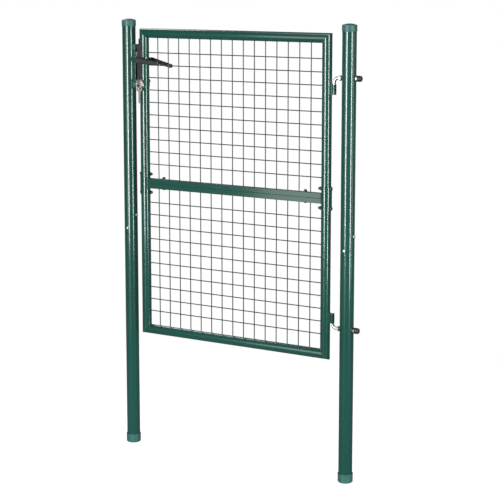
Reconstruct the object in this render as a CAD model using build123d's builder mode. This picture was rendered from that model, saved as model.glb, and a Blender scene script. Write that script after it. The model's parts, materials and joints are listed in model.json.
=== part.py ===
from build123d import *
import os
from math import cos, radians, sin

# A garden gate of round steel tube with a welded wire mesh, hung between two round posts.
# X runs along the gate towards the hinge post, the front is -Y, and Z is up.
# The origin is the middle of the underside of the hinge post. Lengths are in millimetres.

os.makedirs("parts", exist_ok=True)

# ---- driving dimensions -------------------------------------------------------------------

CLEARANCE = 0.1  # between pieces that are welded, clamped or pressed together
RUNNING = 0.05  # radial, between a pin and its bore
CROSS_REACH = 0.55  # of the screw head's radius
CROSS_WIDTH = 0.2
CROSS_DEPTH = 0.32

# leaf frame
LEAF_BOTTOM = 476.0
LEAF_HEIGHT = 1250.0
STILE_SPACING = 834.0
FRAME_R = 19.0
FRAME_WALL = 1.5
RAIL_SIDE = 20.0
RAIL_WALL = 1.5

# posts
POST_R = 27.0
POST_WALL = 1.5
POST_FOOT = 5.0
POST_TOP = 1755.0
POST_JOINT_Z = 888.0
SPIGOT_LENGTH = 102.0
HINGE_GAP = 93.0  # hinge post centre to hinge stile centre
LATCH_GAP = 75.0  # latch post centre to latch stile centre

# mesh
PITCH = 50.0
WIRE_R = 2.0
WIRE_LAYER = 1.7  # each layer's distance from the leaf's middle plane, so crossings are welded
WIRE_COLUMNS = 15
WIRE_ROWS = 10
ROW_DEPTH = 96.5  # first row's distance from the leaf's top or bottom

# hinges
HOOK_R = 6.0
HOOK_BEND = 18.0
SLEEVE_R = 8.0
SLEEVE_LENGTH = 38.0
SLEEVE_OFFSET = 31.0  # hinge axis to hinge stile centre
LUG_THICKNESS = 8.0
UPPER_SLEEVE_Z = 1497.0
LOWER_SLEEVE_Z = 621.0
UPPER_ROD_Z = 1560.0
LOWER_ROD_Z = 603.0
HOOK_NUT_FLATS = 18.0

# lock
HANDLE_Z = 1598.5
CYLINDER_Z = 1513.0
FOREND_LENGTH = 216.0
FOREND_BOTTOM = 1468.0
FOREND_HALF_WIDTH = 11.0
FOREND_THICKNESS = 2.5
COVER_BOTTOM = 1489.0
COVER_HEIGHT = 174.0
COVER_HALF_DEPTH = 21.0
COVER_WALL = 1.8
COVER_EDGE = 3.0  # how far the cover's sides reach past the stile's middle
CASE_HALF_DEPTH = 7.5
CASE_WALL = 1.2
CASE_BOTTOM = 1480.0
CASE_TOP = 1642.0
CASE_BACK = 15.0  # past the stile's middle
LATCH_THROW = 12.0
LATCH_HALF_DEPTH = 5.0
LATCH_BOTTOM = HANDLE_Z + 11.5
LATCH_HEIGHT = 22.0
BOLT_HALF_DEPTH = 4.0
BOLT_BOTTOM = CYLINDER_Z + 16.0
BOLT_HEIGHT = 24.0
HANDLE_STROKE = 35.0  # degrees
FOLLOWER_REACH = LATCH_THROW / (2 * sin(radians(HANDLE_STROKE / 2)))
SPINDLE_SIDE = 8.0
SPINDLE_HALF_LENGTH = 38.0
SPINDLE_HOLE_R = 6.2
CYLINDER_HALF_LENGTH = 29.0
CYLINDER_R = 8.5
CYLINDER_FOOT = 10.0
CYLINDER_DROP = 25.5  # its axis to the end of its foot
PLUG_R = 6.5
LEVER_NECK_R = 8.0
FRONT_LEVER_DROOP = 4.5  # degrees
BACK_LEVER_DROOP = 14.0  # degrees
STRIKE_GAP = 13.0  # lock cover to strike

# ---- places worked out from them ----------------------------------------------------------

HINGE_POST_X = 0.0
HINGE_STILE_X = HINGE_POST_X - HINGE_GAP
LATCH_STILE_X = HINGE_STILE_X - STILE_SPACING
LATCH_POST_X = LATCH_STILE_X - LATCH_GAP
LEAF_MIDDLE_X = (HINGE_STILE_X + LATCH_STILE_X) / 2
HINGE_AXIS_X = HINGE_STILE_X + SLEEVE_OFFSET
LEAF_TOP = LEAF_BOTTOM + LEAF_HEIGHT
SEAM_Z = (LEAF_BOTTOM + LEAF_TOP) / 2
TOP_RAIL_Z = LEAF_TOP - FRAME_R
BOTTOM_RAIL_Z = LEAF_BOTTOM + FRAME_R
FOREND_BACK_X = LATCH_STILE_X - FRAME_R - CLEARANCE
FOREND_FACE_X = FOREND_BACK_X - FOREND_THICKNESS
COVER_FACE_X = FOREND_FACE_X - CLEARANCE - COVER_WALL
STRIKE_FACE_X = COVER_FACE_X - STRIKE_GAP
POSTS = (HINGE_POST_X, LATCH_POST_X)
STILES = ((HINGE_STILE_X, 1), (LATCH_STILE_X, -1))  # each with its outward direction


# ---- helpers, used inside a BuildPart block -----------------------------------------------


def facing(x, y, z, direction):
    """A plane at a point, with its normal in the given direction."""
    return Plane(origin=(x, y, z), z_dir=direction)


def disc(plane, radius, height, mode=Mode.ADD):
    with BuildSketch(plane) as profile:
        Circle(radius)
    extrude(profile.sketch, amount=height, mode=mode)


def dome(plane, radius, height, rounding, mode=Mode.ADD):
    """A disc whose far edge is rounded, revolved about the plane's normal."""
    side = Plane(origin=plane.origin, x_dir=plane.x_dir, z_dir=-plane.y_dir)
    with BuildSketch(side) as profile:
        with BuildLine():
            Polyline((0, height), (0, 0), (radius, 0), (radius, height - rounding))
            RadiusArc((radius, height - rounding), (radius - rounding, height), -rounding)
            Line((radius - rounding, height), (0, height))
        make_face()
    revolve(profile.sketch, axis=Axis(plane.origin, plane.z_dir), mode=mode)


def hexagon(plane, across_flats, height, mode=Mode.ADD):
    with BuildSketch(plane) as profile:
        RegularPolygon(radius=across_flats / 2, side_count=6, major_radius=False)
    extrude(profile.sketch, amount=height, mode=mode)


def block(x_range, y_range, z_range, mode=Mode.ADD):
    """A box between two limits on each axis."""
    middle = [(low + high) / 2 for low, high in (x_range, y_range, z_range)]
    size = [high - low for low, high in (x_range, y_range, z_range)]
    with Locations(tuple(middle)):
        Box(*size, mode=mode)


def cross_recess(plane, head_r):
    """The cross that a driver fits, sunk into a screw's head from the plane."""
    reach = CROSS_REACH * head_r
    width = CROSS_WIDTH * head_r
    depth = CROSS_DEPTH * head_r
    with BuildSketch(plane) as profile:
        Rectangle(2 * reach, width)
        Rectangle(width, 2 * reach)
    extrude(profile.sketch, amount=-depth, mode=Mode.SUBTRACT)


def upright_tube(x, bottom, top, radius, wall):
    with BuildSketch(Plane.XY.offset(bottom)) as profile:
        with Locations((x, 0)):
            Circle(radius)
            Circle(radius - wall, mode=Mode.SUBTRACT)
    extrude(profile.sketch, amount=top - bottom)


def drill(plane, radius, depth):
    """Removes a round hole that starts at the plane and goes against its normal."""
    disc(plane, radius, -depth, mode=Mode.SUBTRACT)


def pan_screw(plane, head_r, head_height, shank_r, length):
    """A round-headed screw whose head sits on the plane and whose shank goes against its normal."""
    dome(plane, head_r, head_height, head_height * 0.7)
    disc(plane, shank_r, -length)


def flat_screw(plane, head_r, shank_r, length, mode=Mode.ADD):
    """A countersunk screw with its head flush with the plane."""
    side = Plane(origin=plane.origin, x_dir=plane.x_dir, z_dir=plane.y_dir)
    with BuildSketch(side) as profile:
        Polygon((0, 0), (head_r, 0), (0, head_r), align=None)
    revolve(profile.sketch, axis=Axis(plane.origin, plane.z_dir), mode=mode)
    disc(plane, shank_r, -length, mode=mode)


def flat_screw_hole(plane, head_r, shank_r, length):
    """The hole for a countersunk screw of these sizes."""
    flat_screw(plane, head_r + CLEARANCE, shank_r + CLEARANCE, length, mode=Mode.SUBTRACT)


def mitre(x, z, outward, inward):
    """The mitre plane at a frame corner. The stile is on its normal's side."""
    return Plane(origin=(x, 0, z), z_dir=(outward, 0, inward))


def cylinder_shape(plane, radius, half_width, drop, depth, mode=Mode.ADD):
    """The body of a profile cylinder: a round barrel with a narrow round-ended foot."""
    with BuildSketch(plane) as profile:
        Circle(radius)
        with Locations((0, -(drop - half_width) / 2)):
            Rectangle(2 * half_width, drop - half_width)
        with Locations((0, -(drop - half_width))):
            Circle(half_width)
    extrude(profile.sketch, amount=-depth, mode=mode)


def cut_cylinder_hole():
    """The through hole for the lock cylinder, with room around it."""
    origin = (LATCH_STILE_X, -COVER_HALF_DEPTH - 5, CYLINDER_Z)
    front = Plane(origin=origin, x_dir=(1, 0, 0), z_dir=(0, -1, 0))
    gap = 0.3
    radius = CYLINDER_R + gap
    half_width = CYLINDER_FOOT / 2 + gap
    drop = CYLINDER_DROP + gap
    cylinder_shape(front, radius, half_width, drop, 2 * COVER_HALF_DEPTH + 10, mode=Mode.SUBTRACT)


def cut_spindle_hole():
    behind = facing(LATCH_STILE_X, COVER_HALF_DEPTH + 5, HANDLE_Z, (0, 1, 0))
    drill(behind, SPINDLE_HOLE_R, 2 * COVER_HALF_DEPTH + 10)


# ---- posts --------------------------------------------------------------------------------

SIDE_SCREW_Z = 965.0
FACE_SCREW_Z = 911.0
POST_SCREW_R = 2.4
STRIKE_BOTTOM = 1489.0
STRIKE_HEIGHT = 172.0
STRIKE_BLOCK = 20.0
STRIKE_SCREW_R = 2.5
STRIKE_TOP = STRIKE_BOTTOM + STRIKE_HEIGHT
STRIKE_SCREWS_Z = (STRIKE_BOTTOM + STRIKE_BLOCK / 2, STRIKE_TOP - STRIKE_BLOCK / 2)


def screw_planes(x):
    """Where the joint screws of one post sit: one in its side, one in front and one behind."""
    return (
        facing(x + POST_R + RUNNING, 0, SIDE_SCREW_Z, (1, 0, 0)),
        facing(x, -POST_R - RUNNING, FACE_SCREW_Z, (0, -1, 0)),
        facing(x, POST_R + RUNNING, FACE_SCREW_Z, (0, 1, 0)),
    )


def post_upper(x):
    upright_tube(x, POST_JOINT_Z, POST_TOP, POST_R, POST_WALL)
    for plane in screw_planes(x):
        drill(plane, POST_SCREW_R + CLEARANCE, POST_R)


def post_lower(x):
    """The lower tube, swaged down at its top to a spigot that the upper tube slides over."""
    spigot_r = POST_R - POST_WALL - CLEARANCE
    swage = POST_R - spigot_r
    spigot_top = POST_JOINT_Z + SPIGOT_LENGTH
    with BuildSketch(Plane.XZ) as profile:
        with BuildLine():
            Polyline(
                (x + POST_R - POST_WALL, POST_FOOT),
                (x + POST_R, POST_FOOT),
                (x + POST_R, POST_JOINT_Z - swage),
                (x + spigot_r, POST_JOINT_Z),
                (x + spigot_r, spigot_top),
                (x + spigot_r - POST_WALL, spigot_top),
                (x + spigot_r - POST_WALL, POST_JOINT_Z - swage),
                (x + POST_R - POST_WALL, POST_JOINT_Z - 2 * swage),
                close=True,
            )
        make_face()
    revolve(profile.sketch, axis=Axis((x, 0, 0), (0, 0, 1)))
    for plane in screw_planes(x):
        drill(plane, POST_SCREW_R + CLEARANCE, POST_R)


with BuildPart() as hinge_post_upper:
    post_upper(HINGE_POST_X)
    drill(facing(POST_R + 1, 0, UPPER_ROD_Z, (1, 0, 0)), HOOK_R + 0.2, 2 * POST_R + 2)
hinge_post_upper.part.label = "hinge_post_upper"
export_step(hinge_post_upper.part, "parts/hinge_post_upper.step")

with BuildPart() as hinge_post_lower:
    post_lower(HINGE_POST_X)
    drill(facing(POST_R + 1, 0, LOWER_ROD_Z, (1, 0, 0)), HOOK_R + 0.2, 2 * POST_R + 2)
hinge_post_lower.part.label = "hinge_post_lower"
export_step(hinge_post_lower.part, "parts/hinge_post_lower.step")

with BuildPart() as latch_post_upper:
    post_upper(LATCH_POST_X)
    for screw_z in STRIKE_SCREWS_Z:
        drill(facing(LATCH_POST_X + POST_R + 1, 0, screw_z, (1, 0, 0)), STRIKE_SCREW_R + CLEARANCE, POST_R)
latch_post_upper.part.label = "latch_post_upper"
export_step(latch_post_upper.part, "parts/latch_post_upper.step")

with BuildPart() as latch_post_lower:
    post_lower(LATCH_POST_X)
latch_post_lower.part.label = "latch_post_lower"
export_step(latch_post_lower.part, "parts/latch_post_lower.step")

CAP_R = 28.6
CAP_BEAD_R = 29.0
CAP_BOTTOM = 1734.0
CAP_SHOULDER = 1757.0
CAP_TOP = 1763.0
CAP_SKIN = 2.2
CAP_BEAD = 3.0
BASE_R = 29.3
BASE_RIM_R = 30.0
BASE_HEIGHT = 35.0
BASE_CHAMFER = 3.0
BASE_RIM = 4.0


def top_cap(x):
    """A plastic cap pushed over the post, with a shallow domed top and a small bead round its lip."""
    inner_r = POST_R + CLEARANCE
    seat = POST_TOP + CLEARANCE
    seat_r = POST_R - POST_WALL
    rise = CAP_TOP - CAP_SHOULDER
    dome_r = (CAP_R**2 + rise**2) / (2 * rise)
    with BuildSketch(Plane.XZ) as profile:
        with BuildLine():
            Polyline(
                (x, CAP_TOP - CAP_SKIN),
                (x + seat_r, seat),
                (x + inner_r, seat),
                (x + inner_r, CAP_BOTTOM),
                (x + CAP_BEAD_R, CAP_BOTTOM),
                (x + CAP_BEAD_R, CAP_BOTTOM + CAP_BEAD),
                (x + CAP_R, CAP_BOTTOM + CAP_BEAD + 1),
                (x + CAP_R, CAP_SHOULDER),
            )
            RadiusArc((x + CAP_R, CAP_SHOULDER), (x, CAP_TOP), -dome_r)
            Line((x, CAP_TOP), (x, CAP_TOP - CAP_SKIN))
        make_face()
    revolve(profile.sketch, axis=Axis((x, 0, 0), (0, 0, 1)))


def base_cap(x):
    """A plastic foot over the post's lower end, with a rim round its mouth."""
    inner_r = POST_R + CLEARANCE
    floor = POST_FOOT - CLEARANCE
    with BuildSketch(Plane.XZ) as profile:
        with BuildLine():
            Polyline(
                (x, 0),
                (x + BASE_R - BASE_CHAMFER, 0),
                (x + BASE_R, BASE_CHAMFER),
                (x + BASE_R, BASE_HEIGHT - BASE_RIM - 1),
                (x + BASE_RIM_R, BASE_HEIGHT - BASE_RIM),
                (x + BASE_RIM_R, BASE_HEIGHT),
                (x + inner_r, BASE_HEIGHT),
                (x + inner_r, floor),
                (x, floor),
                close=True,
            )
        make_face()
    revolve(profile.sketch, axis=Axis((x, 0, 0), (0, 0, 1)))


with BuildPart() as hinge_post_cap:
    top_cap(HINGE_POST_X)
hinge_post_cap.part.label = "hinge_post_cap"
export_step(hinge_post_cap.part, "parts/hinge_post_cap.step")

with BuildPart() as latch_post_cap:
    top_cap(LATCH_POST_X)
latch_post_cap.part.label = "latch_post_cap"
export_step(latch_post_cap.part, "parts/latch_post_cap.step")

with BuildPart() as hinge_post_base:
    base_cap(HINGE_POST_X)
hinge_post_base.part.label = "hinge_post_base"
export_step(hinge_post_base.part, "parts/hinge_post_base.step")

with BuildPart() as latch_post_base:
    base_cap(LATCH_POST_X)
latch_post_base.part.label = "latch_post_base"
export_step(latch_post_base.part, "parts/latch_post_base.step")

POST_SCREW_HEAD_R = 6.3
POST_SCREW_HEAD = 4.0
POST_SCREW_LENGTH = 14.0

with BuildPart() as post_screws:
    for post_x in POSTS:
        for screw_plane in screw_planes(post_x):
            pan_screw(screw_plane, POST_SCREW_HEAD_R, POST_SCREW_HEAD, POST_SCREW_R, POST_SCREW_LENGTH)
            cross_recess(screw_plane.offset(POST_SCREW_HEAD), POST_SCREW_HEAD_R)
post_screws.part.label = "post_screws"
export_step(post_screws.part, "parts/post_screws.step")

# ---- strike on the latch post -------------------------------------------------------------

STRIKE_HALF_WIDTH = 11.0
STRIKE_WALL = 2.5
STRIKE_SETBACK = 0.4  # the channel's face behind the end blocks' faces
SLOT_MARGIN = 2.0
STRIKE_ROOT_X = LATCH_POST_X + 18.0  # inside the post, trimmed off by its round

with BuildPart() as strike_channel:
    channel_face_x = STRIKE_FACE_X - STRIKE_SETBACK
    channel_bottom = STRIKE_BOTTOM + STRIKE_BLOCK + CLEARANCE
    channel_top = STRIKE_BOTTOM + STRIKE_HEIGHT - STRIKE_BLOCK - CLEARANCE
    flange_y = STRIKE_HALF_WIDTH - STRIKE_WALL
    channel_x = (STRIKE_ROOT_X, channel_face_x)
    block(channel_x, (-STRIKE_HALF_WIDTH, STRIKE_HALF_WIDTH), (channel_bottom, channel_top))
    outer_edges = edges().filter_by(Axis.Z).group_by(Axis.X)[-1]
    fillet(outer_edges, 2)
    hollow_x = (STRIKE_ROOT_X - 1, channel_face_x - STRIKE_WALL)
    block(hollow_x, (-flange_y, flange_y), (channel_bottom - 1, channel_top + 1), mode=Mode.SUBTRACT)
    upper_slot = (LATCH_BOTTOM - SLOT_MARGIN, LATCH_BOTTOM + LATCH_HEIGHT + SLOT_MARGIN)
    lower_slot = (BOLT_BOTTOM - SLOT_MARGIN, BOLT_BOTTOM + BOLT_HEIGHT + SLOT_MARGIN)
    slot_x = (channel_face_x - STRIKE_WALL - 1, channel_face_x + 1)
    latch_slot_y = LATCH_HALF_DEPTH + SLOT_MARGIN
    bolt_slot_y = BOLT_HALF_DEPTH + SLOT_MARGIN
    block(slot_x, (-latch_slot_y, latch_slot_y), upper_slot, mode=Mode.SUBTRACT)
    block(slot_x, (-bolt_slot_y, bolt_slot_y), lower_slot, mode=Mode.SUBTRACT)
    below = facing(LATCH_POST_X, 0, channel_bottom - 1, (0, 0, 1))
    disc(below, POST_R + RUNNING, STRIKE_HEIGHT, mode=Mode.SUBTRACT)
strike_channel.part.label = "strike_channel"
export_step(strike_channel.part, "parts/strike_channel.step")

STRIKE_SCREW_HEAD_R = 5.0
STRIKE_SCREW_LENGTH = 24.0

with BuildPart() as strike_blocks:
    block_y = STRIKE_HALF_WIDTH + 0.5
    for screw_z in STRIKE_SCREWS_Z:
        block_z = (screw_z - STRIKE_BLOCK / 2, screw_z + STRIKE_BLOCK / 2)
        block((STRIKE_ROOT_X, STRIKE_FACE_X), (-block_y, block_y), block_z)
    fillet(edges().filter_by(Axis.Z).group_by(Axis.X)[-1], 2)
    below = facing(LATCH_POST_X, 0, STRIKE_BOTTOM - 1, (0, 0, 1))
    disc(below, POST_R + RUNNING, STRIKE_HEIGHT + 2, mode=Mode.SUBTRACT)
    for screw_z in STRIKE_SCREWS_Z:
        screw_plane = facing(STRIKE_FACE_X, 0, screw_z, (1, 0, 0))
        flat_screw_hole(screw_plane, STRIKE_SCREW_HEAD_R, STRIKE_SCREW_R, 20)
strike_blocks.part.label = "strike_blocks"
export_step(strike_blocks.part, "parts/strike_blocks.step")

with BuildPart() as strike_screws:
    for screw_z in STRIKE_SCREWS_Z:
        screw_plane = facing(STRIKE_FACE_X, 0, screw_z, (1, 0, 0))
        flat_screw(screw_plane, STRIKE_SCREW_HEAD_R, STRIKE_SCREW_R, STRIKE_SCREW_LENGTH)
        cross_recess(screw_plane, STRIKE_SCREW_HEAD_R)
strike_screws.part.label = "strike_screws"
export_step(strike_screws.part, "parts/strike_screws.step")

# ---- hinges -------------------------------------------------------------------------------

COLLAR_R = 9.0
COLLAR_REACH = 5.5
INNER_NUT = 6.5
WASHER_R = 12.0
WASHER_REACH = 3.5
OUTER_NUT = 10.0
NUT_CAP_R = 11.5
NUT_CAP_COVERS = 5.0  # how much of the outer nut the cap leaves bare
NUT_CAP_LENGTH = 18.5
NUT_CAP_ROOM_R = 10.6
NUT_CAP_ROOM = 12.0
HOOK_END_X = POST_R + WASHER_REACH + OUTER_NUT + 4
COLLAR_FACE_X = -POST_R - COLLAR_REACH
WASHER_FACE_X = POST_R + WASHER_REACH
ROD_LEVELS = (UPPER_ROD_Z, LOWER_ROD_Z)


def hinge_hook(pin_end_z, rod_z):
    """A rod bent square: its short leg is the hinge pin, its long leg goes through the post."""
    with BuildLine() as route:
        FilletPolyline(
            (HINGE_AXIS_X, 0, pin_end_z),
            (HINGE_AXIS_X, 0, rod_z),
            (HOOK_END_X, 0, rod_z),
            radius=HOOK_BEND,
        )
    with BuildSketch(Plane(origin=route.line @ 0, z_dir=route.line % 0)) as profile:
        Circle(HOOK_R)
    sweep(profile.sketch, path=route.line)


def hinge_sleeve(bottom):
    """A short tube on a lug, welded to the stile."""
    with BuildSketch(Plane.XY.offset(bottom)) as profile:
        with Locations(((HINGE_AXIS_X + HINGE_STILE_X) / 2, 0)):
            Rectangle(SLEEVE_OFFSET, LUG_THICKNESS)
        with Locations((HINGE_AXIS_X, 0)):
            Circle(SLEEVE_R)
            Circle(HOOK_R + RUNNING, mode=Mode.SUBTRACT)
        with Locations((HINGE_STILE_X, 0)):
            Circle(FRAME_R + RUNNING, mode=Mode.SUBTRACT)
    extrude(profile.sketch, amount=SLEEVE_LENGTH)


with BuildPart() as upper_hinge_hook:
    hinge_hook(UPPER_SLEEVE_Z - 1, UPPER_ROD_Z)
upper_hinge_hook.part.label = "upper_hinge_hook"
export_step(upper_hinge_hook.part, "parts/upper_hinge_hook.step")

with BuildPart() as lower_hinge_hook:
    hinge_hook(LOWER_SLEEVE_Z + SLEEVE_LENGTH + 1, LOWER_ROD_Z)
lower_hinge_hook.part.label = "lower_hinge_hook"
export_step(lower_hinge_hook.part, "parts/lower_hinge_hook.step")

with BuildPart() as upper_hinge_sleeve:
    hinge_sleeve(UPPER_SLEEVE_Z)
upper_hinge_sleeve.part.label = "upper_hinge_sleeve"
export_step(upper_hinge_sleeve.part, "parts/upper_hinge_sleeve.step")

with BuildPart() as lower_hinge_sleeve:
    hinge_sleeve(LOWER_SLEEVE_Z)
lower_hinge_sleeve.part.label = "lower_hinge_sleeve"
export_step(lower_hinge_sleeve.part, "parts/lower_hinge_sleeve.step")

with BuildPart() as hook_collars:
    for rod_z in ROD_LEVELS:
        disc(facing(COLLAR_FACE_X, 0, rod_z, (1, 0, 0)), COLLAR_R, COLLAR_REACH + 3)
        drill(facing(0, 0, rod_z, (1, 0, 0)), HOOK_R + CLEARANCE, POST_R + COLLAR_REACH + 1)
    disc(Plane.XY, POST_R + RUNNING, POST_TOP, mode=Mode.SUBTRACT)
hook_collars.part.label = "hook_collars"
export_step(hook_collars.part, "parts/hook_collars.step")

with BuildPart() as hook_inner_nuts:
    for rod_z in ROD_LEVELS:
        nut_plane = facing(COLLAR_FACE_X - CLEARANCE, 0, rod_z, (-1, 0, 0))
        hexagon(nut_plane, HOOK_NUT_FLATS, INNER_NUT)
        disc(nut_plane, HOOK_R + CLEARANCE, INNER_NUT, mode=Mode.SUBTRACT)
hook_inner_nuts.part.label = "hook_inner_nuts"
export_step(hook_inner_nuts.part, "parts/hook_inner_nuts.step")

with BuildPart() as hook_washers:
    for rod_z in ROD_LEVELS:
        disc(facing(WASHER_FACE_X, 0, rod_z, (1, 0, 0)), WASHER_R, -WASHER_REACH - 6)
        drill(facing(WASHER_FACE_X, 0, rod_z, (1, 0, 0)), HOOK_R + CLEARANCE, POST_R)
    disc(Plane.XY, POST_R + RUNNING, POST_TOP, mode=Mode.SUBTRACT)
hook_washers.part.label = "hook_washers"
export_step(hook_washers.part, "parts/hook_washers.step")

with BuildPart() as hook_outer_nuts:
    for rod_z in ROD_LEVELS:
        nut_plane = facing(WASHER_FACE_X + CLEARANCE, 0, rod_z, (1, 0, 0))
        hexagon(nut_plane, HOOK_NUT_FLATS, OUTER_NUT)
        disc(nut_plane, HOOK_R + CLEARANCE, OUTER_NUT, mode=Mode.SUBTRACT)
hook_outer_nuts.part.label = "hook_outer_nuts"
export_step(hook_outer_nuts.part, "parts/hook_outer_nuts.step")

with BuildPart() as hook_nut_caps:
    for rod_z in ROD_LEVELS:
        mouth = facing(WASHER_FACE_X + NUT_CAP_COVERS, 0, rod_z, (1, 0, 0))
        disc(mouth, NUT_CAP_R, NUT_CAP_LENGTH)
    fillet(edges().filter_by(GeomType.CIRCLE).group_by(Axis.X)[-1], 8)
    for rod_z in ROD_LEVELS:
        mouth = facing(WASHER_FACE_X + NUT_CAP_COVERS, 0, rod_z, (1, 0, 0))
        disc(mouth, NUT_CAP_ROOM_R, NUT_CAP_ROOM, mode=Mode.SUBTRACT)
hook_nut_caps.part.label = "hook_nut_caps"
export_step(hook_nut_caps.part, "parts/hook_nut_caps.step")

# ---- leaf frame ---------------------------------------------------------------------------

BRACKET_R = 22.0
BRACKET_HEIGHT = 90.0
BRACKET_BOLT_DROP = 37.5  # each bolt's distance above or below the seam
M8_R = 4.0
M8_HOLE_R = 4.2
RAIL_BOLT_INSET = 90.0


def round_rail(z, inward):
    """A horizontal frame tube, mitred at both ends."""
    with BuildSketch(Plane.YZ.offset(LATCH_STILE_X - FRAME_R)) as profile:
        with Locations((0, z)):
            Circle(FRAME_R)
            Circle(FRAME_R - FRAME_WALL, mode=Mode.SUBTRACT)
    extrude(profile.sketch, amount=STILE_SPACING + 2 * FRAME_R)
    for x, outward in STILES:
        split(bisect_by=mitre(x, z, outward, inward), keep=Keep.BOTTOM)


def stile_half(x, outward, inward):
    """Half of an upright frame tube, from the seam to its mitre. inward is -1 for the upper half."""
    if inward < 0:
        upright_tube(x, SEAM_Z, LEAF_TOP, FRAME_R, FRAME_WALL)
        split(bisect_by=mitre(x, TOP_RAIL_Z, outward, inward), keep=Keep.TOP)
    else:
        upright_tube(x, LEAF_BOTTOM, SEAM_Z, FRAME_R, FRAME_WALL)
        split(bisect_by=mitre(x, BOTTOM_RAIL_Z, outward, inward), keep=Keep.TOP)
    bolt_z = SEAM_Z - inward * BRACKET_BOLT_DROP
    drill(facing(x + FRAME_R + 1, 0, bolt_z, (1, 0, 0)), M8_HOLE_R, 2 * FRAME_R + 2)


with BuildPart() as top_rail:
    round_rail(TOP_RAIL_Z, -1)
top_rail.part.label = "top_rail"
export_step(top_rail.part, "parts/top_rail.step")

with BuildPart() as bottom_rail:
    round_rail(BOTTOM_RAIL_Z, 1)
bottom_rail.part.label = "bottom_rail"
export_step(bottom_rail.part, "parts/bottom_rail.step")

with BuildPart() as hinge_stile_upper:
    stile_half(HINGE_STILE_X, 1, -1)
hinge_stile_upper.part.label = "hinge_stile_upper"
export_step(hinge_stile_upper.part, "parts/hinge_stile_upper.step")

with BuildPart() as hinge_stile_lower:
    stile_half(HINGE_STILE_X, 1, 1)
hinge_stile_lower.part.label = "hinge_stile_lower"
export_step(hinge_stile_lower.part, "parts/hinge_stile_lower.step")

LOCK_SCREW_R = 2.0
LOCK_SCREW_HEAD_R = 4.0
LOCK_SCREW_LENGTH = 10.0
FOREND_SCREW_INSET = 7.0
FOREND_TOP = FOREND_BOTTOM + FOREND_LENGTH
FOREND_SCREWS_Z = (FOREND_BOTTOM + FOREND_SCREW_INSET, FOREND_TOP - FOREND_SCREW_INSET)

with BuildPart() as latch_stile_upper:
    stile_half(LATCH_STILE_X, -1, -1)
    slot_y = CASE_HALF_DEPTH + 0.3
    slot_x = (LATCH_STILE_X - FRAME_R - 1, LATCH_STILE_X)
    block(slot_x, (-slot_y, slot_y), (CASE_BOTTOM - 0.3, CASE_TOP + 0.3), mode=Mode.SUBTRACT)
    cut_spindle_hole()
    cut_cylinder_hole()
    for screw_z in FOREND_SCREWS_Z:
        drill(facing(LATCH_STILE_X, 0, screw_z, (1, 0, 0)), LOCK_SCREW_R + CLEARANCE, FRAME_R + 1)
latch_stile_upper.part.label = "latch_stile_upper"
export_step(latch_stile_upper.part, "parts/latch_stile_upper.step")

with BuildPart() as latch_stile_lower:
    stile_half(LATCH_STILE_X, -1, 1)
latch_stile_lower.part.label = "latch_stile_lower"
export_step(latch_stile_lower.part, "parts/latch_stile_lower.step")


def middle_rail(bottom):
    """A square tube between the stiles, its ends shaped to their round, with a hole for each rail bolt."""
    side_y = RAIL_SIDE / 2
    inner_y = side_y - RAIL_WALL
    reach = (LATCH_STILE_X, HINGE_STILE_X)
    block(reach, (-side_y, side_y), (bottom, bottom + RAIL_SIDE))
    fillet(edges().filter_by(Axis.X), 1)
    hollow_z = (bottom + RAIL_WALL, bottom + RAIL_SIDE - RAIL_WALL)
    block(reach, (-inner_y, inner_y), hollow_z, mode=Mode.SUBTRACT)
    for x, outward in STILES:
        disc(facing(x, 0, bottom - 1, (0, 0, 1)), FRAME_R + CLEARANCE, RAIL_SIDE + 2, mode=Mode.SUBTRACT)
        bolt_x = x - outward * RAIL_BOLT_INSET
        disc(facing(bolt_x, 0, bottom - 1, (0, 0, 1)), M8_HOLE_R, RAIL_SIDE + 2, mode=Mode.SUBTRACT)


with BuildPart() as middle_rail_upper:
    middle_rail(SEAM_Z + RUNNING)
middle_rail_upper.part.label = "middle_rail_upper"
export_step(middle_rail_upper.part, "parts/middle_rail_upper.step")

with BuildPart() as middle_rail_lower:
    middle_rail(SEAM_Z - RUNNING - RAIL_SIDE)
middle_rail_lower.part.label = "middle_rail_lower"
export_step(middle_rail_lower.part, "parts/middle_rail_lower.step")


def mesh_panel(bottom, top, middle_row_z):
    """Welded wires: uprights in front, level wires behind, sunk into each other where they cross."""
    height = top - bottom - 2 * CLEARANCE
    with BuildSketch(Plane(origin=(LEAF_MIDDLE_X, -WIRE_LAYER, bottom + CLEARANCE))) as profile:
        with GridLocations(PITCH, PITCH, WIRE_COLUMNS, 1):
            Circle(WIRE_R)
    extrude(profile.sketch, amount=height)
    left = LATCH_STILE_X + FRAME_R + CLEARANCE
    width = STILE_SPACING - 2 * (FRAME_R + CLEARANCE)
    row_plane = Plane(origin=(left, WIRE_LAYER, middle_row_z), x_dir=(0, 1, 0), z_dir=(1, 0, 0))
    with BuildSketch(row_plane) as profile:
        with GridLocations(PITCH, PITCH, 1, WIRE_ROWS):
            Circle(WIRE_R)
    extrude(profile.sketch, amount=width)


ROWS_HALF_SPAN = PITCH * (WIRE_ROWS - 1) / 2

with BuildPart() as mesh_upper:
    mesh_panel(SEAM_Z + RAIL_SIDE, TOP_RAIL_Z - FRAME_R, LEAF_TOP - ROW_DEPTH - ROWS_HALF_SPAN)
mesh_upper.part.label = "mesh_upper"
export_step(mesh_upper.part, "parts/mesh_upper.step")

with BuildPart() as mesh_lower:
    mesh_panel(BOTTOM_RAIL_Z + FRAME_R, SEAM_Z - RAIL_SIDE, LEAF_BOTTOM + ROW_DEPTH + ROWS_HALF_SPAN)
mesh_lower.part.label = "mesh_lower"
export_step(mesh_lower.part, "parts/mesh_lower.step")

# ---- brackets and bolts of the leaf's joint -----------------------------------------------

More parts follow.
